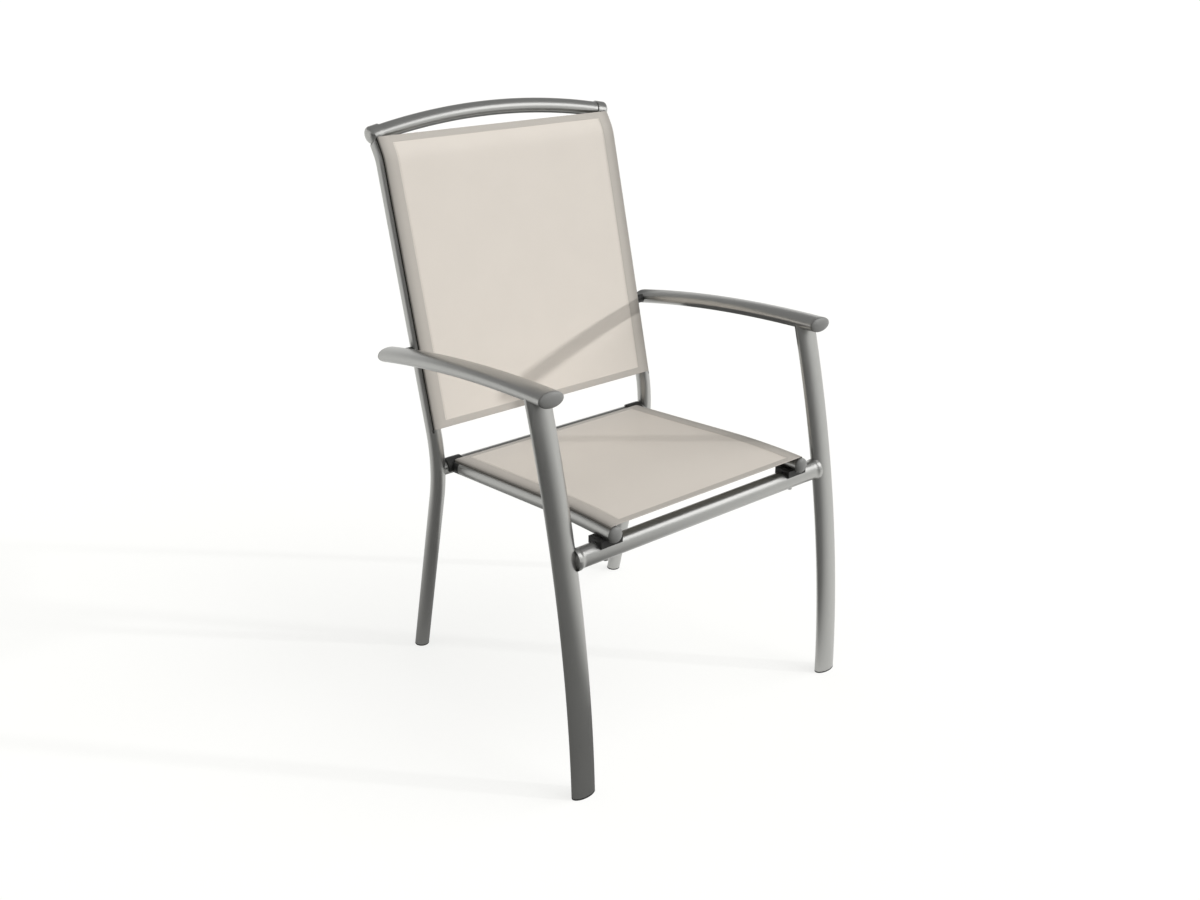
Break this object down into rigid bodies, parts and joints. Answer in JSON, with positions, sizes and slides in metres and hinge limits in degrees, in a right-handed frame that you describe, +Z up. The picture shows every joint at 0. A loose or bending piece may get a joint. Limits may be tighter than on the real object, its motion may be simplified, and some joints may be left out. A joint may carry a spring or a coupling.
{
  "type": "sling patio chair",
  "caption": "Stackable patio armchair: bent aluminium tube frame with an arched top rail, bowed oval arms and legs, and stretched mesh slings for the seat and back.",
  "frame": {"origin": "on the floor, at the middle of the space that the chair covers", "axes": "+Z up, the chair faces -Y, +X is to the right as seen from in front of it"},
  "size_m": [0.5876, 0.6014, 0.9403],
  "materials": {
    "frame": "satin warm silver grey coating",
    "end_cap": "light grey moulded plastic",
    "black_plastic": "black moulded plastic",
    "steel": "stainless fasteners",
    "sling_mesh": "woven mesh in pale beige, hemmed",
    "welt_rod": "extruded white plastic rod"
  },
  "bodies": {
    "root": {"top_rail": "frame", "front_crossbar": "frame", "rear_crossbar": "frame", "back_sling": "sling_mesh", "seat_sling": "sling_mesh", "left_upright": "frame", "left_front_leg": "frame", "left_armrest": "frame", "left_arm_front_cap": "end_cap", "left_arm_rear_cap": "end_cap", "left_arm_spacer": "black_plastic", "left_arm_bolt": "steel", "left_arm_nut": "steel", "left_seat_rail": "frame", "left_seat_rail_front_cap": "end_cap", "left_seat_rail_rear_plug": "black_plastic", "left_seat_rail_saddle": "black_plastic", "left_saddle_screw": "steel", "left_rear_rail_screw": "steel", "left_top_rail_cap": "end_cap", "left_front_foot": "black_plastic", "left_rear_foot": "black_plastic", "left_back_welt_rod": "welt_rod", "left_seat_welt_rod": "welt_rod", "right_upright": "frame", "right_front_leg": "frame", "right_armrest": "frame", "right_arm_front_cap": "end_cap", "right_arm_rear_cap": "end_cap", "right_arm_spacer": "black_plastic", "right_arm_bolt": "steel", "right_arm_nut": "steel", "right_seat_rail": "frame", "right_seat_rail_front_cap": "end_cap", "right_seat_rail_rear_plug": "black_plastic", "right_seat_rail_saddle": "black_plastic", "right_saddle_screw": "steel", "right_rear_rail_screw": "steel", "right_top_rail_cap": "end_cap", "right_front_foot": "black_plastic", "right_rear_foot": "black_plastic", "right_back_welt_rod": "welt_rod", "right_seat_welt_rod": "welt_rod"}
  },
  "joints": []
}
